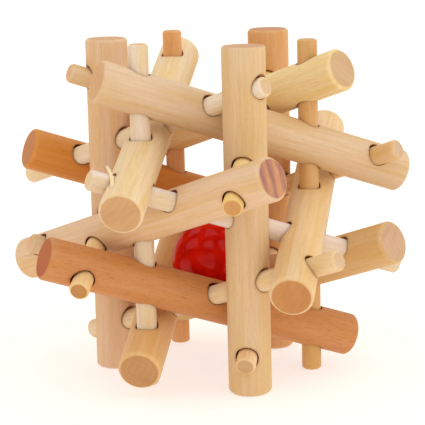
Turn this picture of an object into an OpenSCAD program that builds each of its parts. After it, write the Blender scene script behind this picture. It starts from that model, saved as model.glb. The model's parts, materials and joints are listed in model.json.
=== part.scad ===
// Burr puzzle: a cage of thick round bars locked together by thin dowels, with a loose ball inside.
// Bars and dowels lie along the same four directions, the four long diagonals of a cube stood on
// its corner: upright, and three that slope down to the right, to the left and to the front.
// +Z is up and -Y is the front. The origin is on the ground, under the middle of the cage.

/* [Bars] */
// Length of each thick bar
bar_length = 120; // [112:1:140]
// Diameter of each thick bar
bar_diameter = 15; // [12:0.5:17]
// Bevel round the ends of each thick bar
bar_bevel = 1; // [0.2:0.1:2]

/* [Dowels] */
// Length of each thin dowel
dowel_length = 119; // [112:1:119]
// Diameter of each thin dowel
dowel_diameter = 7; // [5:0.5:8]
// Bevel round the ends of each thin dowel
dowel_bevel = 0.7; // [0.2:0.1:1.2]

/* [Holes] */
// Spacing of the holes along a bar
hole_pitch = 22; // [21:0.5:24]
// Difference between the diameters of a hole and its dowel
hole_play = 1; // [0.8:0.1:1.5]
// A sloping dowel lies this far below the middle of its holes
dowel_rest = 0.35; // [0:0.05:0.35]

/* [Ball] */
// Diameter of the loose ball
ball_diameter = 28; // [23:0.5:36]
// Gap left between the resting ball and the bars under it
ball_gap = 0.1; // [0.05:0.05:0.5]

/* [How far each dowel stands along its own line] */
// Upright dowel at the right, upwards
slip_upright_right = -0.4; // [-0.5:0.1:8]
// Upright dowel at the front, upwards
slip_upright_front = 1.4; // [-0.5:0.1:8]
// Upright dowel at the back, upwards
slip_upright_back = 0.2; // [-0.5:0.1:8]
// Top dowel that slopes down to the right, downhill
slip_right_top = 0.4; // [-8:0.1:8]
// Middle dowel that slopes down to the right, downhill
slip_right_middle = 0.5; // [-8:0.1:8]
// Bottom dowel that slopes down to the right, downhill
slip_right_bottom = 4.5; // [-8:0.1:8]
// Top dowel that slopes down to the left, downhill
slip_left_top = 5.6; // [-8:0.1:8]
// Middle dowel that slopes down to the left, downhill
slip_left_middle = -1; // [-8:0.1:8]
// Bottom dowel that slopes down to the left, downhill
slip_left_bottom = -3.3; // [-8:0.1:8]
// Top dowel that slopes down to the front, downhill
slip_front_top = -4.6; // [-8:0.1:8]
// Middle dowel that slopes down to the front, downhill
slip_front_middle = -1.8; // [-8:0.1:8]
// Bottom dowel that slopes down to the front, downhill
slip_front_bottom = -4; // [-8:0.1:8]

/* [Hidden] */
$fn = 96;
// A sloping line leaves the vertical by this much, and two lines of the cage cross at the rest of 180
slope = acos(-1 / 3);
crossing = 180 - slope;
// Compass turn of the three sloping directions
to_right = 30;
to_left = 150;
to_front = 270;
// Every bar and dowel passes the middle of the cage at this distance
reach = hole_pitch * sqrt(8 / 3);
hole_diameter = dowel_diameter + hole_play;
hole_depth = 2 * bar_diameter;
// Each hole is turned this much round the bar from the hole before it
hole_turn = -120;
// Turns about their own direction that lay three parallel bars round the cage
top = 30;
middle = -90;
bottom = 150;
// A dowel lies straight across the cage from a bar of its direction
across = 180;
// The ball's centre drops this far below the middle of the cage until three bars hold it
touch = (ball_diameter + bar_diameter) / 2 + ball_gap;
ball_drop = 9 / 8 * (sqrt(2 / 3) * reach - sqrt(8 * touch * touch - 2 * reach * reach) / 3);

cream = "#ebcb9b";
straw = "#e2bb88";
honey = "#d3a268";
amber = "#c77d3e";
russet = "#ca8552";
rosy = "#d39a68";
birch = "#e8cba4";
red = "#ad1806";

// A round rod on the Z axis with bevelled ends
module rod(length, diameter, bevel) {
    half = length / 2;
    radius = diameter / 2;
    rotate_extrude()
        polygon([
            [0, -half], [radius - bevel, -half], [radius, bevel - half],
            [radius, half - bevel], [radius - bevel, half], [0, half]
        ]);
}

// The twelve bars are alike: five holes at one pitch, seen here with +X towards the middle of the cage
module drilled_bar() {
    difference() {
        rod(bar_length, bar_diameter, bar_bevel);
        for (hole = [-2 : 2])
            translate([0, 0, hole * hole_pitch])
                rotate([0, crossing, 90 + hole * hole_turn])
                    cylinder(d = hole_diameter, h = hole_depth, center = true);
    }
}

// Lays an upright piece along one line of the cage
module lay_upright(turn) {
    translate([0, 0, bar_length / 2])
        rotate([0, 0, turn])
            translate([-reach, 0, 0])
                children();
}

// Lays a piece along a line that slopes down towards the compass turn
module lay_sloping(compass, turn) {
    translate([0, 0, bar_length / 2])
        rotate([0, slope, compass])
            rotate([0, 0, turn])
                translate([-reach, 0, 0])
                    children();
}

// A dowel pushed along its own line
module pushed_dowel(slip) {
    translate([0, 0, slip])
        rod(dowel_length, dowel_diameter, dowel_bevel);
}

// A sloping dowel, which lies on the lower side of its holes
module sloping_dowel(compass, turn, slip) {
    translate([0, 0, -dowel_rest])
        lay_sloping(compass, turn)
            pushed_dowel(slip);
}

module bar_upright_left() { color(straw) lay_upright(0) drilled_bar(); }
module bar_upright_front() { color(cream) lay_upright(120) drilled_bar(); }
module bar_upright_back() { color(rosy) lay_upright(-120) drilled_bar(); }
module bar_right_top() { color(straw) lay_sloping(to_right, top) drilled_bar(); }
module bar_right_middle() { color(amber) lay_sloping(to_right, middle) drilled_bar(); }
module bar_right_bottom() { color(russet) lay_sloping(to_right, bottom) drilled_bar(); }
module bar_left_top() { color(straw) lay_sloping(to_left, top) drilled_bar(); }
module bar_left_middle() { color(straw) lay_sloping(to_left, middle) drilled_bar(); }
module bar_left_bottom() { color(honey) lay_sloping(to_left, bottom) drilled_bar(); }
module bar_front_top() { color(cream) lay_sloping(to_front, top) drilled_bar(); }
module bar_front_middle() { color(cream) lay_sloping(to_front, middle) drilled_bar(); }
module bar_front_bottom() { color(cream) lay_sloping(to_front, bottom) drilled_bar(); }

module dowel_upright_right() { color(birch) lay_upright(across) pushed_dowel(slip_upright_right); }
module dowel_upright_front() { color(birch) lay_upright(across - 120) pushed_dowel(slip_upright_front); }
module dowel_upright_back() { color(birch) lay_upright(across + 120) pushed_dowel(slip_upright_back); }
module dowel_right_top() { color(birch) sloping_dowel(to_right, bottom + across, slip_right_top); }
module dowel_right_middle() { color(birch) sloping_dowel(to_right, middle + across, slip_right_middle); }
module dowel_right_bottom() { color(birch) sloping_dowel(to_right, top + across, slip_right_bottom); }
module dowel_left_top() { color(birch) sloping_dowel(to_left, bottom + across, slip_left_top); }
module dowel_left_middle() { color(birch) sloping_dowel(to_left, middle + across, slip_left_middle); }
module dowel_left_bottom() { color(birch) sloping_dowel(to_left, top + across, slip_left_bottom); }
module dowel_front_top() { color(birch) sloping_dowel(to_front, bottom + across, slip_front_top); }
module dowel_front_middle() { color(birch) sloping_dowel(to_front, middle + across, slip_front_middle); }
module dowel_front_bottom() { color(birch) sloping_dowel(to_front, top + across, slip_front_bottom); }

module ball() {
    color(red)
        translate([0, 0, bar_length / 2 - ball_drop])
            sphere(d = ball_diameter);
}

bar_upright_left();
bar_upright_front();
bar_upright_back();
bar_right_top();
bar_right_middle();
bar_right_bottom();
bar_left_top();
bar_left_middle();
bar_left_bottom();
bar_front_top();
bar_front_middle();
bar_front_bottom();
dowel_upright_right();
dowel_upright_front();
dowel_upright_back();
dowel_right_top();
dowel_right_middle();
dowel_right_bottom();
dowel_left_top();
dowel_left_middle();
dowel_left_bottom();
dowel_front_top();
dowel_front_middle();
dowel_front_bottom();
ball();
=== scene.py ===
import json
import math

import bpy
import numpy as np
from mathutils import Matrix, Vector


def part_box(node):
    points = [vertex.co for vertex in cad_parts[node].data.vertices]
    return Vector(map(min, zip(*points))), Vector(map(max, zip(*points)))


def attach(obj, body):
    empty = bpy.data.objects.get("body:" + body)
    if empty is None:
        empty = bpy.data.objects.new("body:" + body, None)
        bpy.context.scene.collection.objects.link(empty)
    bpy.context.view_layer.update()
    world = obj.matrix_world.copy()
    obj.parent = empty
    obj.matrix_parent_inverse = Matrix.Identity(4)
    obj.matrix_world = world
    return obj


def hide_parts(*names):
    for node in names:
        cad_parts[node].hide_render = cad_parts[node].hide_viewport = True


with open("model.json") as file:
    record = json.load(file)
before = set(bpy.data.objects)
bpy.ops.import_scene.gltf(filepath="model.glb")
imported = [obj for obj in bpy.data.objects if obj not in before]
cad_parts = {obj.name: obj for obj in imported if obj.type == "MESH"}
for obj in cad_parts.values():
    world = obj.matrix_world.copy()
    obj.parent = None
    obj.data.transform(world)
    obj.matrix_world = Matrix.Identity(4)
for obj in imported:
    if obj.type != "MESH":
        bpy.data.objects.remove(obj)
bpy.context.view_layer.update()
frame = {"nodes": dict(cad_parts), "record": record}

scene = bpy.context.scene
mm = 0.001

# the three sloping families run downhill towards these compass turns, one part down for three along
downhill = {"right": 30, "left": 150, "front": 270}


def runOf(node):
    # unit direction of a rod: upright, or (sqrt 8 cos, sqrt 8 sin, -1) / 3 for its family's compass turn
    family = node.split("_")[1]
    if family == "upright":
        return np.array([0.0, 0.0, 1.0])
    turn = math.radians(downhill[family])
    return np.array([math.sqrt(8) * math.cos(turn), math.sqrt(8) * math.sin(turn), -1.0]) / 3


def middleOf(node):
    low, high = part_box(node)
    return np.array((low + high) / 2)


def spanOf(node):
    low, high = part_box(node)
    return np.array(high - low)


bars = sorted(n for n in frame["nodes"] if n.startswith("bar_"))
dowels = sorted(n for n in frame["nodes"] if n.startswith("dowel_"))
bodyOf = {node: body for body, nodes in frame["record"]["behaviour"]["bodies"].items() for node in nodes}

barLength = spanOf("bar_upright_front")[2]
barRadius = spanOf("bar_upright_front")[0] / 2
dowelLength = spanOf("dowel_upright_front")[2]
dowelRadius = spanOf("dowel_upright_front")[0] / 2
cageMiddle = np.array([0.0, 0.0, barLength / 2])
reach = float(np.hypot(*middleOf("bar_upright_front")[:2]))   # from the cage's middle to every rod's line
holePitch = reach * math.sqrt(3 / 8)


def frameOf(node):
    # a rod's own axes as columns: x towards the cage's middle, z along its run
    along = runOf(node)
    inward = cageMiddle - middleOf(node)
    inward -= along * (inward @ along)
    inward /= np.linalg.norm(inward)
    return np.stack([inward, np.cross(along, inward), along], axis=1)


# the camera: turn and rise in degrees, distance in metres, lens in millimetres
shot = {"turn": 9.62, "rise": 10.97, "lean": -1.455, "distance": 0.6416, "lens": 151.4,
        "aimRight": 0.00097, "aimUp": -0.00292}


def placeCamera():
    # the view direction comes from turn and rise, and lean rolls the picture about it
    turn, rise, lean = (math.radians(shot[k]) for k in ("turn", "rise", "lean"))
    right = Vector((math.cos(turn), math.sin(turn), 0))
    back = Vector((math.sin(turn) * math.cos(rise), -math.cos(turn) * math.cos(rise), math.sin(rise)))
    up = back.cross(right)
    acrossPicture = right * math.cos(lean) + up * math.sin(lean)
    upPicture = up * math.cos(lean) - right * math.sin(lean)
    aim = Vector(cageMiddle) + acrossPicture * shot["aimRight"] + upPicture * shot["aimUp"]
    data = bpy.data.cameras.new("camera")
    data.lens = shot["lens"]
    data.clip_start = 0.01
    camera = bpy.data.objects.new("camera", data)
    turned = Matrix((acrossPicture, upPicture, back)).transposed().to_4x4()
    camera.matrix_world = Matrix.Translation(aim + back * shot["distance"]) @ turned
    scene.collection.objects.link(camera)
    scene.camera = camera


placeCamera()
print("stage: camera")


class Tree:
    # short hand for a material's nodes: link sockets, or set their values
    def __init__(self, name):
        self.material = bpy.data.materials.new(name)
        self.material.use_nodes = True
        self.nodes = self.material.node_tree.nodes
        self.links = self.material.node_tree.links
        self.nodes.clear()

    def add(self, kind, inputs=None, **settings):
        node = self.nodes.new("ShaderNode" + kind)
        for key, value in settings.items():
            setattr(node, key, value)
        for key, value in (inputs or {}).items():
            socket = node.inputs[key]
            if isinstance(value, bpy.types.NodeSocket):
                self.links.new(value, socket)
            else:
                socket.default_value = value
        return node

    def math(self, operation, a, b=0.0, c=0.0):
        return self.add("Math", {0: a, 1: b, 2: c}, operation=operation).outputs[0]

    def between(self, value, low, high, outLow=0.0, outHigh=1.0):
        inputs = {"Value": value, "From Min": low, "From Max": high, "To Min": outLow, "To Max": outHigh}
        return self.add("MapRange", inputs, interpolation_type="SMOOTHSTEP").outputs["Result"]

    def stretch(self, vector, across, along, shift=(0, 0, 0)):
        inputs = {"Vector": vector, "Scale": (across, across, along), "Location": shift}
        return self.add("Mapping", inputs).outputs["Vector"]

    def noise(self, vector, detail=3.0, roughness=0.55, scale=1.0):
        inputs = {"Vector": vector, "Scale": scale, "Detail": detail, "Roughness": roughness}
        return self.add("TexNoise", inputs).outputs["Fac"]

    def blend(self, factor, a, b, kind="MIX"):
        node = self.add("Mix", data_type="RGBA", blend_type=kind)
        node.clamp_factor = True
        for key, value in ((0, factor), (6, a), (7, b)):
            socket = node.inputs[key]
            if isinstance(value, bpy.types.NodeSocket):
                self.links.new(value, socket)
            else:
                socket.default_value = value
        return node.outputs[2]


def shade(red, green, blue):
    # a colour as eyes read it, turned into light values
    linear = [((c / 255 + 0.055) / 1.055) ** 2.4 if c > 10 else c / 255 / 12.92 for c in (red, green, blue)]
    return (*linear, 1.0)


# lengths in millimetres, but bumpDepth in metres
woodFinish = {"roughness": 0.45, "fibreRoughness": 0.16, "specular": 0.25,
              "ringSpacing": 2.3, "ringWander": 4.4, "pithDistance": 26.0,
              "fibreStrength": 0.105, "poreStrength": 0.20, "speckStrength": 0.30,
              "bumpStrength": 0.5, "bumpDepth": 0.00005}


def tinted(tone, red, green, blue):
    return tuple(min(255.0, c * k) for c, k in zip(tone, (red, green, blue)))


def toneSet(skin, end, endBand=None):
    # the tones of one piece of wood: pinkish and yellowish skin, late wood, pores, cut ends and their bands
    return {"pale": tinted(skin, 1.02, 1.015, 1.06),
            "deep": tinted(skin, 1.0, 0.965, 0.89),
            "late": tinted(skin, 0.94, 0.83, 0.69),
            "pore": tinted(skin, 0.66, 0.50, 0.38),
            "end": end,
            "endLate": tinted(end, 0.88, 0.78, 0.70),
            "endBand": endBand or tinted(end, 0.94, 0.88, 0.84)}


def woodMaterial(name, node, wood, seed):
    # wood along one rod: p is the place in the rod's own axes, in millimetres, and distance is from a pith
    # line that stands off to one side, plus slow noise. Rings repeat in distance, and streaks, flecks and
    # pores are noise stretched along z. Cut ends and bores take the end tones, in broad bands
    rng = np.random.default_rng(seed)
    t = Tree(name)
    tones = toneSet(wood["skin"], wood["end"], wood.get("endBand"))
    tones = {key: shade(*tone) for key, tone in tones.items()}
    axes = Matrix(frameOf(node).tolist()).to_euler()
    rodAxes = {"Vector": t.add("TexCoord").outputs["Object"], "Location": tuple(middleOf(node)),
               "Rotation": tuple(axes), "Scale": (mm, mm, mm)}
    p = t.add("Mapping", rodAxes, vector_type="TEXTURE").outputs["Vector"]
    shift = tuple(rng.uniform(-500, 500, 3))
    pithTurn = rng.uniform(0, 2 * math.pi)
    pithAway = woodFinish["pithDistance"] * rng.uniform(0.45, 1.5)
    pith = (pithAway * math.cos(pithTurn), pithAway * math.sin(pithTurn), 0)

    slow = t.noise(t.stretch(p, 0.09, 0.020, shift), detail=2.0)
    fromPith = t.add("VectorMath", {0: p, 1: pith}, operation="SUBTRACT").outputs[0]
    flat = t.add("VectorMath", {0: fromPith, 1: (1, 1, 0.012)}, operation="MULTIPLY").outputs[0]
    distance = t.add("VectorMath", {0: flat}, operation="LENGTH").outputs["Value"]
    wander = t.math("MULTIPLY", slow, woodFinish["ringWander"])
    ringPlace = t.math("DIVIDE", t.math("ADD", distance, wander), woodFinish["ringSpacing"])
    ring = t.between(t.math("PINGPONG", ringPlace, 0.5), 0.02, 0.46)

    streak = t.noise(t.stretch(p, 1.1, 0.028, shift), detail=5.0, roughness=0.6)
    fibre = t.noise(t.stretch(p, 6.5, 0.11, shift), detail=4.0, roughness=0.6)
    pore = t.between(t.noise(t.stretch(p, 9.0, 0.42, shift), detail=1.0), 0.62, 0.74)
    fleck = t.between(t.noise(t.stretch(p, 2.6, 0.42, shift), detail=2.0), 0.56, 0.70)
    patchShift = (shift[1], shift[2], shift[0])
    patch = t.between(t.noise(t.stretch(p, 0.20, 0.020, patchShift), detail=2.0), 0.36, 0.64)

    body = t.blend(patch, tones["pale"], tones["deep"])
    late = t.blend(t.math("MULTIPLY", ring, wood.get("ringDepth", 0.10)), body, tones["late"])
    streaked = t.blend(t.between(streak, 0.46, 0.80, 0.0, wood.get("streaks", 0.28)), late, tones["late"])
    flecked = t.blend(t.math("MULTIPLY", fleck, wood.get("flecks", 0.10)), streaked, tones["pore"])
    fibreTone = t.between(fibre, 0.30, 0.72, 1.0 - woodFinish["fibreStrength"], 1.03)
    fibreLine = t.add("CombineColor", {0: fibreTone, 1: fibreTone, 2: fibreTone}).outputs[0]
    fibred = t.blend(1.0, flecked, fibreLine, "MULTIPLY")
    pored = t.blend(t.math("MULTIPLY", pore, woodFinish["poreStrength"]), fibred, tones["pore"])

    # end grain: faint ring arcs, fine specks, and bands turned about z
    speck = t.noise(t.stretch(p, 2.6, 0.5, shift), detail=3.0, roughness=0.65)
    bandTurn = (0, 0, math.radians(wood.get("bandTurn", 0)))
    bandAxes = {"Vector": p, "Rotation": bandTurn, "Scale": (0.24, 0.045, 0.02), "Location": shift}
    bands = t.noise(t.add("Mapping", bandAxes).outputs["Vector"], detail=2.0, roughness=0.5)
    endBody = t.blend(t.math("MULTIPLY", ring, 0.12), tones["end"], tones["endLate"])
    bandFrom = wood.get("bandFrom", 0.42)
    banded = t.between(bands, bandFrom, bandFrom + 0.22, 0.0, wood.get("bandDepth", 0.4))
    endBanded = t.blend(banded, endBody, tones["endBand"])
    specked = t.between(speck, 0.42, 0.78, 0.0, woodFinish["speckStrength"])
    endGrain = t.blend(specked, endBanded, tones["endLate"])
    cut = t.add("Attribute", attribute_name="cut", attribute_type="GEOMETRY").outputs["Fac"]
    grained = t.blend(cut, pored, endGrain)

    # the mouths of the holes are burnished a little darker by the drill, and the bore's wall is darkened all
    # along as painted shade inside the hole
    mouth = t.add("Attribute", attribute_name="mouth", attribute_type="GEOMETRY").outputs["Fac"]
    burnAndPaintedBoreShade = t.math("MULTIPLY", mouth, t.between(fibre, 0.3, 0.7, 0.10, 0.38))
    colour = t.blend(burnAndPaintedBoreShade, grained, tones["pore"])

    grainHeight = t.math("MULTIPLY_ADD", fibre, 0.6, t.math("MULTIPLY", pore, -0.8))
    height = t.math("MULTIPLY_ADD", speck, t.math("MULTIPLY", cut, 0.9), grainHeight)
    bump = t.add("Bump", {"Height": height, "Strength": woodFinish["bumpStrength"],
                          "Distance": woodFinish["bumpDepth"]})
    rough = t.math("MULTIPLY_ADD", fibre, woodFinish["fibreRoughness"], woodFinish["roughness"])
    surface = t.add("BsdfPrincipled", {"Base Color": colour, "Roughness": rough,
                                       "Normal": bump.outputs["Normal"],
                                       "Specular IOR Level": woodFinish["specular"]})
    t.add("OutputMaterial", {"Surface": surface.outputs[0]})
    return t.material


def weld(points, faces, grain=2e-7):
    # joins equal points: each is rounded to a fine lattice, and faces take the first number of its kind
    keys = np.round(points / grain).astype(np.int64)
    unique, first, back = np.unique(keys, axis=0, return_index=True, return_inverse=True)
    return points[first], back.reshape(-1)[faces], first


def gridFaces(index, closed=True):
    # quads of a grid of point numbers, rows by columns, whose last column joins the first if it is closed
    right = np.roll(index, -1, axis=1)
    quads = np.stack([index[:-1], right[:-1], right[1:], index[1:]], axis=-1)
    return quads.reshape(-1, 4) if closed else quads[:, :-1].reshape(-1, 4)


def makeMesh(name, points, faces, marks=None):
    # quads may hold a repeated corner at a pole, which becomes a triangle
    mesh = bpy.data.meshes.new(name)
    quads = faces[(faces != np.roll(faces, 1, axis=1)).all(axis=1)]
    poles = faces[(faces == np.roll(faces, 1, axis=1)).any(axis=1)]
    kept = poles != np.roll(poles, 1, axis=1)
    triangles = poles[kept.sum(axis=1) == 3][kept[kept.sum(axis=1) == 3]].reshape(-1, 3)
    corners = np.concatenate([quads.reshape(-1), triangles.reshape(-1)]).astype(np.int32)
    starts = np.concatenate([np.arange(len(quads)) * 4, len(quads) * 4 + np.arange(len(triangles)) * 3])
    mesh.vertices.add(len(points))
    mesh.vertices.foreach_set("co", points.astype(np.float32).reshape(-1))
    mesh.loops.add(len(corners))
    mesh.loops.foreach_set("vertex_index", corners)
    mesh.polygons.add(len(starts))
    mesh.polygons.foreach_set("loop_start", starts.astype(np.int32))
    mesh.update(calc_edges=True)
    mesh.validate()
    for key, values in (marks or {}).items():
        mesh.attributes.new(key, "FLOAT", "POINT").data.foreach_set("value", values.astype(np.float32))
    mesh.polygons.foreach_set("use_smooth", np.ones(len(mesh.polygons), bool))
    piece = bpy.data.objects.new(name, mesh)
    scene.collection.objects.link(piece)
    return piece


barShape = {"holeRadius": 4.0 * mm, "rim": 0.22 * mm, "bevel": 1.0 * mm, "uneven": 0.0025,
            "columns": 60, "sideRows": 20, "wallRows": 7, "outerRows": 6,
            "mouthRings": (0.55 * mm, 1.0 * mm, 1.6 * mm, 2.2 * mm), "burnished": 0.5 * mm}


def mouthPoints(turn, level, sign, radius, angles, depth=0.0):
    # where a round hole of this radius leaves a round bar: the hole runs through (0, 0, level) and leaves at
    # the compass turn, tilted along z by a third of its length. A point at angle a round the hole is
    # centre + radius (cos a u + sin a w) + s d, with s such that x^2 + y^2 = bar radius^2, less depth
    tiltZ = sign / 3
    tiltOut = math.sqrt(8) / 3
    facing = turn + (math.pi if sign < 0 else 0)
    out = np.array([math.cos(facing), math.sin(facing), 0])
    u = np.array([-math.sin(facing), math.cos(facing), 0])
    d = out * tiltOut + np.array([0, 0, tiltZ])
    w = np.cross(d, u)
    radius = np.broadcast_to(radius, angles.shape)
    sideways = radius * np.cos(angles)
    outward = np.sqrt(barRadius ** 2 - sideways ** 2)
    s = (outward + radius * np.sin(angles) * tiltZ) / tiltOut - depth
    return (np.array([0, 0, level]) + sideways[..., None] * u
            + (radius * np.sin(angles))[..., None] * w + s[..., None] * d)


def borderPlaces(sideRows):
    # the edge of one hole's patch of the bar, half the girth wide and one pitch high, as (turn, height)
    # steps that start at the middle of the right side and go round anticlockwise
    wide = barShape["columns"] // 2
    up = np.linspace(0, 0.5, sideRows // 2 + 1)[:-1]
    over = np.linspace(0.5, -0.5, wide + 1)[:-1]
    down = np.linspace(0.5, -0.5, sideRows + 1)[:-1]
    turns = np.concatenate([np.full(len(up), 0.5), over, np.full(len(down), -0.5), -over,
                            np.full(len(up), 0.5)])
    heights = np.concatenate([up, np.full(len(over), 0.5), down, np.full(len(over), -0.5), up - 0.5])
    return turns * math.pi, heights * holePitch


def drilledBar(name, wood, seed):
    # a bar with its five holes, in its own axes. Round each mouth the grid has rings: the bore's wall, a
    # rounded rim (a quadratic arc from the wall over the sharp corner to the surface), circles that widen
    # over the bar's skin, and lines from the last circle to the patch's border on the bar's own lattice
    rng = np.random.default_rng(seed)
    turns, heights = borderPlaces(barShape["sideRows"])
    count = len(turns)
    angles = np.arange(count) * 2 * math.pi / count
    hole, rim = barShape["holeRadius"], barShape["rim"]
    points, faces, cut, mouth = [], [], [], []
    used = 0
    arc = np.linspace(0, 1, 5)[1:-1]
    rings = np.array([rim, *barShape["mouthRings"]])
    # each row of the mouth's grid has two marks: how far it is cut wood, and how far the drill burnished it
    outerRows = barShape["outerRows"]
    cutShare = np.concatenate([[1.0, 0.8, 0.5, 0.2], np.zeros(len(rings) + outerRows)])
    fade = np.clip(1 - (rings[1:] - rim) / barShape["burnished"], 0, 1)
    mouthShare = np.concatenate([np.ones(5), fade, np.zeros(outerRows)])
    for number in range(-2, 3):
        turn = math.pi / 2 - number * 2 * math.pi / 3
        level = number * holePitch
        walls = []
        for sign in (1, -1):
            facing = turn + (math.pi if sign < 0 else 0)
            corner = mouthPoints(turn, level, sign, hole, angles)
            wallTop = mouthPoints(turn, level, sign, hole, angles, rim)
            skin = mouthPoints(turn, level, sign, hole + rim, angles)
            rows = [wallTop]
            rows += [(1 - k) ** 2 * wallTop + 2 * k * (1 - k) * corner + k * k * skin for k in arc]
            rows += [mouthPoints(turn, level, sign, hole + ring, angles) for ring in rings]
            # from the last circle on, places are blended as turn and height on the skin
            last = rows[-1]
            fromTurn = np.unwrap(np.arctan2(last[:, 1], last[:, 0]) - facing)
            fromTurn -= 2 * math.pi * round(float(fromTurn.mean()) / (2 * math.pi))
            for k in np.linspace(0, 1, outerRows + 1)[1:]:
                at = (1 - k) * fromTurn + k * turns + facing
                height = (1 - k) * last[:, 2] + k * (heights + level)
                rows.append(np.stack([barRadius * np.cos(at), barRadius * np.sin(at), height], axis=1))
            rows = np.array(rows)
            index = used + np.arange(rows.shape[0] * count).reshape(rows.shape[0], count)
            points.append(rows.reshape(-1, 3))
            faces.append(gridFaces(index)[:, ::-1])
            cut.append(np.repeat(cutShare, count))
            mouth.append(np.repeat(mouthShare, count))
            used += rows.shape[0] * count
            walls.append(index[0])
        # the bore's wall runs straight from one mouth to the other, whose circle is counted the other way
        other = walls[1][(count // 2 - np.arange(count)) % count]
        allPoints = np.concatenate(points)
        k = np.linspace(0, 1, barShape["wallRows"] + 2)[1:-1, None, None]
        inner = (1 - k) * allPoints[walls[0]] + k * allPoints[other]
        index = used + np.arange(inner.shape[0] * count).reshape(inner.shape[0], count)
        points.append(inner.reshape(-1, 3))
        cut.append(np.ones(inner.shape[0] * count))
        # the bore's wall takes about a third of the mouth's darkening all along, a painted shade inside the
        # hole
        mouth.append(np.full(inner.shape[0] * count, 0.35))
        used += inner.shape[0] * count
        faces.append(gridFaces(np.vstack([other, index[::-1], walls[0]]))[:, ::-1])

    # the ends: straight skin, a rounded bevel, the cut face, and its middle point
    column = np.arange(barShape["columns"]) * 2 * math.pi / barShape["columns"]
    for sign, share in zip((1, -1), wood.get("bevels", (1, 1))):
        bevel = barShape["bevel"] * share * rng.uniform(0.9, 1.1)
        half, start = barLength / 2, 2.5 * holePitch
        lean = np.linspace(0, 1, 6)
        radii = np.concatenate([[barRadius] * 4, barRadius - bevel * (lean ** 1.25),
                                (barRadius - bevel) * np.array([0.985, 0.9, 0.7, 0.45, 0.2, 0.0])])
        stops = np.concatenate([np.linspace(start, half - bevel, 5)[:4], half - bevel * (1 - lean) ** 1.25,
                                np.full(6, half)])
        at = column if sign > 0 else -column
        rows = np.stack([radii[:, None] * np.cos(at), radii[:, None] * np.sin(at),
                         np.broadcast_to(sign * stops[:, None], (len(radii), len(at)))], axis=-1)
        index = used + np.arange(rows.shape[0] * len(column)).reshape(rows.shape[0], len(column))
        index[-1] = index[-1, 0]
        points.append(rows.reshape(-1, 3))
        faces.append(gridFaces(index))
        cut.append(np.repeat([0] * 7 + [0.05, 0.2, 0.7] + [1] * 6, len(column)))
        mouth.append(np.zeros(rows.shape[0] * len(column)))
        used += rows.shape[0] * len(column)

    points, faces, first = weld(np.concatenate(points), np.concatenate(faces))
    cut, mouth = np.concatenate(cut)[first], np.concatenate(mouth)[first]
    # hand-sanded skin: the radius dips by up to a few hundredths of a millimetre, in slow waves
    turn = np.arctan2(points[:, 1], points[:, 0])
    phase = rng.uniform(0, 2 * math.pi, 4)
    uneven = (np.sin(points[:, 2] * 75 + phase[0]) + np.sin(2 * turn + points[:, 2] * 40 + phase[1])
              + 0.6 * np.sin(3 * turn + phase[2]) * np.sin(points[:, 2] * 110 + phase[3]))
    outerness = (np.hypot(points[:, 0], points[:, 1]) / barRadius) ** 4
    points[:, :2] *= (1 - barShape["uneven"] * (1 + uneven / 2.6) * outerness)[:, None]
    return makeMesh(name, points, faces, {"cut": cut, "mouth": mouth})


def settle(piece, node):
    # turns a rod's own axes into the cage's, and sets the rod down at its middle
    place = Matrix(frameOf(node).tolist()).to_4x4()
    place.translation = Vector(middleOf(node))
    piece.data.transform(place)
    piece.data.update()


dowelShape = {"bevel": 0.7 * mm, "uneven": 0.006, "columns": 48, "skinRows": 23}


def plainDowel(name, seed):
    # a dowel in its own axes: a profile of radii and heights carried once round z. The profile is the skin,
    # a rounded bevel at each end and the cut faces
    rng = np.random.default_rng(seed)
    half = dowelLength / 2
    lean = np.linspace(0, 1, 6)
    bevels = dowelShape["bevel"] * rng.uniform(0.8, 1.3, 2)
    face = np.array([0.0, 0.3, 0.6, 0.85, 0.97])
    skinRows = dowelShape["skinRows"]
    radii = np.concatenate([(dowelRadius - bevels[0]) * face, dowelRadius - bevels[0] * (1 - lean) ** 1.25,
                            np.full(skinRows, dowelRadius), dowelRadius - bevels[1] * lean ** 1.25,
                            ((dowelRadius - bevels[1]) * face)[::-1]])
    skin = np.linspace(-half + bevels[0], half - bevels[1], skinRows + 2)[1:-1]
    stops = np.concatenate([np.full(5, -half), -half + bevels[0] * lean ** 1.25, skin,
                            half - bevels[1] * (1 - lean) ** 1.25, np.full(5, half)])
    bevelCut = [0, 0, 0, 0.05, 0.2, 0.7]
    cut = np.concatenate([np.ones(5), bevelCut[::-1], np.zeros(skinRows), bevelCut, np.ones(5)])
    at = np.arange(dowelShape["columns"]) * 2 * math.pi / dowelShape["columns"]
    phase = rng.uniform(0, 2 * math.pi, 3)
    uneven = dowelShape["uneven"]
    swell = 1 - uneven * (1 + np.sin(stops * 90 + phase[0]))[:, None] / 2
    wave = 1 - uneven * (1 + np.sin(2 * at + phase[1]) * np.cos(stops * 60 + phase[2])[:, None]) / 2
    ring = radii[:, None] * swell * wave
    rows = np.stack([ring * np.cos(at), ring * np.sin(at),
                     np.broadcast_to(stops[:, None], ring.shape)], axis=-1)
    index = np.arange(rows.shape[0] * len(at)).reshape(rows.shape[0], len(at))
    index[0], index[-1] = index[0, 0], index[-1, 0]
    marks = {"cut": np.repeat(cut, len(at)), "mouth": np.zeros(rows.shape[0] * len(at))}
    points, faces, first = weld(rows.reshape(-1, 3), gridFaces(index))
    return makeMesh(name, points, faces, {key: value[first] for key, value in marks.items()})


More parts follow.
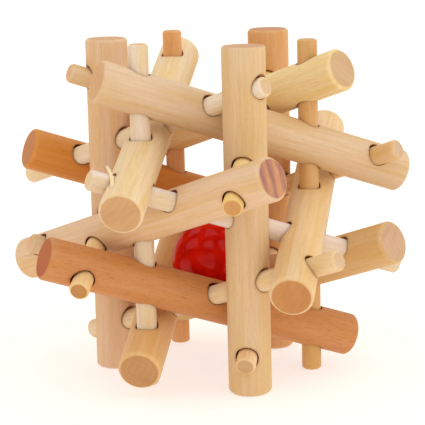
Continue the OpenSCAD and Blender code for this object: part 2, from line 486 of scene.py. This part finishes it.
# each bar's own wood: skin and end as eyes read them, then what sets it apart. bevels are the upper and
# lower ends' shares of the usual bevel. bandTurn is the turn of the bands on the cut ends, in degrees,
# bandDepth is their strength, and a lower bandFrom makes them broader
barWood = {
    "bar_upright_left": {"skin": (228, 194, 156), "end": (216, 170, 126), "streaks": 0.40},
    "bar_upright_front": {"skin": (224, 194, 148), "end": (214, 166, 122), "bevels": (0.5, 1.4)},
    "bar_upright_back": {"skin": (222, 170, 112), "end": (200, 142, 104)},
    "bar_right_top": {"skin": (224, 196, 156), "end": (216, 168, 118), "streaks": 0.42},
    "bar_right_middle": {"skin": (216, 146, 66), "end": (192, 122, 66), "ringDepth": 0.20, "flecks": 0.14},
    "bar_right_bottom": {"skin": (208, 146, 90), "end": (180, 92, 26), "flecks": 0.34, "ringDepth": 0.16},
    "bar_left_top": {"skin": (240, 216, 158), "end": (208, 174, 130)},
    "bar_left_middle": {"skin": (228, 196, 156), "end": (208, 148, 104), "endBand": (156, 106, 96),
                        "bandTurn": 66, "bandDepth": 0.95, "bandFrom": 0.36},
    "bar_left_bottom": {"skin": (218, 182, 128), "end": (206, 168, 132), "streaks": 0.42, "bandDepth": 0.8},
    "bar_front_top": {"skin": (236, 212, 166), "end": (210, 164, 116)},
    "bar_front_middle": {"skin": (234, 204, 154), "end": (200, 140, 82)},
    "bar_front_bottom": {"skin": (230, 188, 128), "end": (196, 146, 96)},
}

for number, node in enumerate(bars):
    wood = barWood[node]
    bar = drilledBar("wooden_" + node, wood, 100 + number)
    settle(bar, node)
    bar.data.materials.append(woodMaterial(f"wood of {node}", node, wood, 300 + number))
    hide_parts(node)
    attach(bar, bodyOf[node])
print("stage: bars")

# slivers of wood that the drill tore at some mouths, in millimetres. Each starts beside its mouth, aside
# round the bar and start along it, runs along the grain, swings aside, and its free end lifts off the skin
freshTint = (1.06, 1.10, 1.16)
torn = {
    "bar_front_top": {"hole": 2, "side": 1, "slivers": [
        {"aside": -4.1, "start": 6.8, "run": -10.5, "swing": 1.5,
         "lift": 3.9, "wide": 1.7, "thick": 0.34},
        {"aside": -2.8, "start": 8.8, "run": -2.8, "swing": 0.2,
         "lift": 0.6, "wide": 0.7, "thick": 0.25},
        {"aside": -4.6, "start": 3.4, "run": -2.4, "swing": -0.3,
         "lift": 0.5, "wide": 0.45, "thick": 0.22},
        {"aside": -5.5, "start": 4.2, "run": -2.4, "swing": -0.3,
         "lift": 0.5, "wide": 0.40, "thick": 0.22},
        {"aside": -6.4, "start": 6.9, "run": -2.6, "swing": -0.2,
         "lift": 0.4, "wide": 0.40, "thick": 0.20}]},
    "bar_front_middle": {"hole": 1, "side": 1, "slivers": [
        {"aside": -4.2, "start": 8.3, "run": -3.6, "swing": -2.0,
         "lift": 0.6, "wide": 0.6, "thick": 0.25},
        {"aside": -2.8, "start": 9.4, "run": -4.0, "swing": -1.4,
         "lift": 0.5, "wide": 0.5, "thick": 0.22}]},
    "bar_right_bottom": {"hole": -2, "side": -1, "slivers": [
        {"aside": -0.5, "start": -6.8, "run": 1.7, "swing": 0.2,
         "lift": 0.45, "wide": 0.40, "thick": 0.2},
        {"aside": 0.6, "start": -5.9, "run": 1.7, "swing": 0.2,
         "lift": 0.40, "wide": 0.35, "thick": 0.2},
        {"aside": -1.8, "start": -5.6, "run": 1.6, "swing": 0.2,
         "lift": 0.35, "wide": 0.40, "thick": 0.2}]},
}


def sliver(hole, side, shape):
    # a tapered strip: its middle line runs over the skin at turn + (aside + swing k^2) / radius and height
    # start + run k, at the bar's radius + lift k^1.6 less a little. Its section is an ellipse, wide across
    # the line and thin along the bar's radius
    k = np.linspace(0, 1, 17)
    facing = math.pi / 2 - hole * 2 * math.pi / 3 + (math.pi if side < 0 else 0)
    centre = hole * holePitch + side * barRadius / math.sqrt(8)
    at = facing + (shape["aside"] + shape["swing"] * k ** 2) * mm / barRadius
    radius = barRadius + (shape["lift"] * k ** 1.6 - 0.1) * mm
    outward = np.stack([np.cos(at), np.sin(at), np.zeros_like(at)], axis=1)
    line = outward * radius[:, None]
    line[:, 2] = centre + (shape["start"] + shape["run"] * k) * mm
    along = np.gradient(line, axis=0)
    along /= np.linalg.norm(along, axis=1, keepdims=True)
    outward -= along * (outward * along).sum(axis=1, keepdims=True)
    outward /= np.linalg.norm(outward, axis=1, keepdims=True)
    across = np.cross(along, outward)
    taper = np.sqrt(np.clip(1 - (2 * k - 1) ** 4, 0, 1)) * (1 - 0.35 * k)
    round8 = np.arange(8) * math.pi / 4
    section = (np.cos(round8)[None, :, None] * across[:, None] * shape["wide"] / 2
               + np.sin(round8)[None, :, None] * outward[:, None] * shape["thick"] / 2)
    return line[:, None] + section * taper[:, None, None] * mm


def tornMouth(name, hole, side, slivers):
    points, faces, used = [], [], 0
    for shape in slivers:
        rows = sliver(hole, side, shape)
        index = used + np.arange(rows.shape[0] * rows.shape[1]).reshape(rows.shape[:2])
        used += index.size
        points.append(rows.reshape(-1, 3))
        index[0], index[-1] = index[0, 0], index[-1, 0]
        faces.append(gridFaces(index))
    points, faces, first = weld(np.concatenate(points), np.concatenate(faces))
    return makeMesh(name, points, faces, {"cut": np.zeros(len(points)), "mouth": np.zeros(len(points))})


for node, place in torn.items():
    shaving = tornMouth("torn_fibres_" + node, place["hole"], place["side"], place["slivers"])
    settle(shaving, node)
    fresh = dict(barWood[node], skin=tinted(barWood[node]["skin"], *freshTint))
    shaving.data.materials.append(woodMaterial(f"torn wood of {node}", node, fresh, 500))
    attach(shaving, bodyOf[node])
print("stage: torn mouths")

# each dowel's own wood, paler and smoother than the bars
dowelWood = {
    "dowel_upright_right": {"skin": (218, 174, 112), "end": (220, 176, 130)},
    "dowel_upright_front": {"skin": (234, 216, 186), "end": (222, 180, 136)},
    "dowel_upright_back": {"skin": (228, 172, 112), "end": (216, 170, 124)},
    "dowel_right_top": {"skin": (226, 196, 152), "end": (222, 176, 132)},
    "dowel_right_middle": {"skin": (232, 216, 196), "end": (230, 200, 154)},
    "dowel_right_bottom": {"skin": (218, 188, 144), "end": (220, 172, 126)},
    "dowel_left_top": {"skin": (240, 224, 192), "end": (218, 186, 144)},
    "dowel_left_middle": {"skin": (228, 192, 138), "end": (214, 184, 150)},
    "dowel_left_bottom": {"skin": (236, 212, 170), "end": (218, 186, 148)},
    "dowel_front_top": {"skin": (240, 208, 134), "end": (208, 154, 92)},
    "dowel_front_middle": {"skin": (240, 208, 148), "end": (196, 142, 82)},
    "dowel_front_bottom": {"skin": (240, 206, 160), "end": (206, 166, 120)},
}

for number, node in enumerate(dowels):
    dowel = plainDowel("wooden_" + node, 200 + number)
    settle(dowel, node)
    dowel.data.materials.append(woodMaterial(f"wood of {node}", node, dowelWood[node], 400 + number))
    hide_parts(node)
    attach(dowel, bodyOf[node])
print("stage: dowels")

# the ball is turned wood under red lacquer
ballShape = {"columns": 128, "rows": 64}
lacquer = {"red": (228, 24, 4), "deep": (202, 14, 2), "roughness": 0.5, "coat": 0.32, "coatRoughness": 0.1}


def lacquerMaterial():
    # a slow change of tone, a very faint orange-peel bump and a clear gloss coat
    t = Tree("red lacquer")
    place = t.add("TexCoord").outputs["Object"]
    p = t.add("Mapping", {"Vector": place, "Scale": (1000, 1000, 1000)}).outputs["Vector"]
    tone = t.between(t.noise(p, detail=3.0, scale=0.16), 0.35, 0.65)
    colour = t.blend(tone, shade(*lacquer["red"]), shade(*lacquer["deep"]))
    peel = t.noise(p, detail=2.0, scale=0.35)
    bump = t.add("Bump", {"Height": peel, "Strength": 0.12, "Distance": 0.00005})
    inputs = {"Base Color": colour, "Roughness": lacquer["roughness"], "Normal": bump.outputs["Normal"],
              "Specular IOR Level": 0.0, "Coat Weight": lacquer["coat"],
              "Coat Roughness": lacquer["coatRoughness"], "Coat Normal": bump.outputs["Normal"]}
    surface = t.add("BsdfPrincipled", inputs)
    t.add("OutputMaterial", {"Surface": surface.outputs[0]})
    return t.material


def turnedBall(name):
    # radius times (sin a cos b, sin a sin b, cos a), with a from pole to pole
    centre = middleOf("ball")
    radius = spanOf("ball")[2] / 2
    a = np.linspace(0, math.pi, ballShape["rows"] + 1)[::-1, None]
    b = np.arange(ballShape["columns"])[None] * 2 * math.pi / ballShape["columns"]
    rows = radius * np.stack([np.sin(a) * np.cos(b), np.sin(a) * np.sin(b),
                              np.cos(a) * np.ones_like(b)], axis=-1) + centre
    index = np.arange(rows.shape[0] * rows.shape[1]).reshape(rows.shape[:2])
    index[0], index[-1] = index[0, 0], index[-1, 0]
    points, faces, first = weld(rows.reshape(-1, 3), gridFaces(index))
    return makeMesh(name, points, faces)


ball = turnedBall("lacquered_ball")
ball.data.materials.append(lacquerMaterial())
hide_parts("ball")
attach(ball, bodyOf["ball"])
print("stage: ball")

# a white light table under a light tent: the tent is brightest overhead and to the right, and the table
# glows, so that shadows on it are faint
studio = {"tent": 0.53, "overhead": 0.59, "left": 0.34, "right": 0.80, "low": (1.0, 0.95, 0.89, 1),
          "high": (0.98, 1.0, 1.02, 1), "key": 0.4, "keySize": 0.6, "keyPlace": (0.15, -0.50, 0.65),
          "floor": (0.55, 0.48, 0.40, 1), "glow": 0.60, "floorHalf": 6.0, "floorDrop": 0.0002}


def paleFloor():
    t = Tree("pale floor")
    place = t.add("TexCoord").outputs["Object"]
    unevenness = t.math("MULTIPLY", t.noise(place, detail=2.0, scale=3.0), 0.04)
    colour = t.blend(unevenness, studio["floor"], (0.5, 0.5, 0.5, 1))
    surface = t.add("BsdfPrincipled", {"Base Color": colour, "Roughness": 0.9, "Specular IOR Level": 0.1,
                                       "Emission Color": (1, 1, 1, 1), "Emission Strength": studio["glow"]})
    t.add("OutputMaterial", {"Surface": surface.outputs[0]})
    return t.material


def layFloor():
    # a wide sheet just under the feet
    side, drop = studio["floorHalf"], studio["floorDrop"]
    corners = np.array([[-side, -side, -drop], [side, -side, -drop],
                        [side, side, -drop], [-side, side, -drop]])
    floor = makeMesh("floor", corners, np.array([[0, 1, 2, 3]]))
    floor.data.materials.append(paleFloor())


def lightTent():
    # the tent's strength in a direction (x, y, z): tent + overhead z + right x^2 where x is positive, and
    # left x^2 where it is negative. Its colour goes from low to high with z
    world = bpy.data.worlds.new("tent")
    world.use_nodes = True
    nodes, links = world.node_tree.nodes, world.node_tree.links

    def math2(operation, a, b):
        node = nodes.new("ShaderNodeMath")
        node.operation = operation
        for socket, value in zip(node.inputs, (a, b)):
            if isinstance(value, bpy.types.NodeSocket):
                links.new(value, socket)
            else:
                socket.default_value = value
        return node.outputs[0]

    split = nodes.new("ShaderNodeSeparateXYZ")
    links.new(nodes.new("ShaderNodeTexCoord").outputs["Generated"], split.inputs[0])
    x, _, z = split.outputs
    strength = math2("ADD", math2("MULTIPLY", math2("MAXIMUM", z, 0.0), studio["overhead"]), studio["tent"])
    for share, sign in ((studio["right"], 1.0), (studio["left"], -1.0)):
        sideways = math2("MAXIMUM", math2("MULTIPLY", x, sign), 0.0)
        strength = math2("ADD", math2("MULTIPLY", math2("MULTIPLY", sideways, sideways), share), strength)
    links.new(strength, nodes["Background"].inputs["Strength"])
    tint = nodes.new("ShaderNodeMix")
    tint.data_type = "RGBA"
    tint.inputs[6].default_value = studio["low"]
    tint.inputs[7].default_value = studio["high"]
    links.new(math2("MAXIMUM", z, 0.0), tint.inputs[0])
    links.new(tint.outputs[2], nodes["Background"].inputs["Color"])
    scene.world = world


def softbox():
    # one soft light above the front
    data = bpy.data.lights.new("softbox", "AREA")
    data.size = studio["keySize"]
    data.energy = studio["key"]
    light = bpy.data.objects.new("softbox", data)
    light.location = studio["keyPlace"]
    aim = Vector(cageMiddle) - light.location
    light.rotation_euler = aim.to_track_quat("-Z", "Y").to_euler()
    scene.collection.objects.link(light)


layFloor()
lightTent()
softbox()
scene.view_settings.view_transform = "Standard"
print("stage: floor and light")
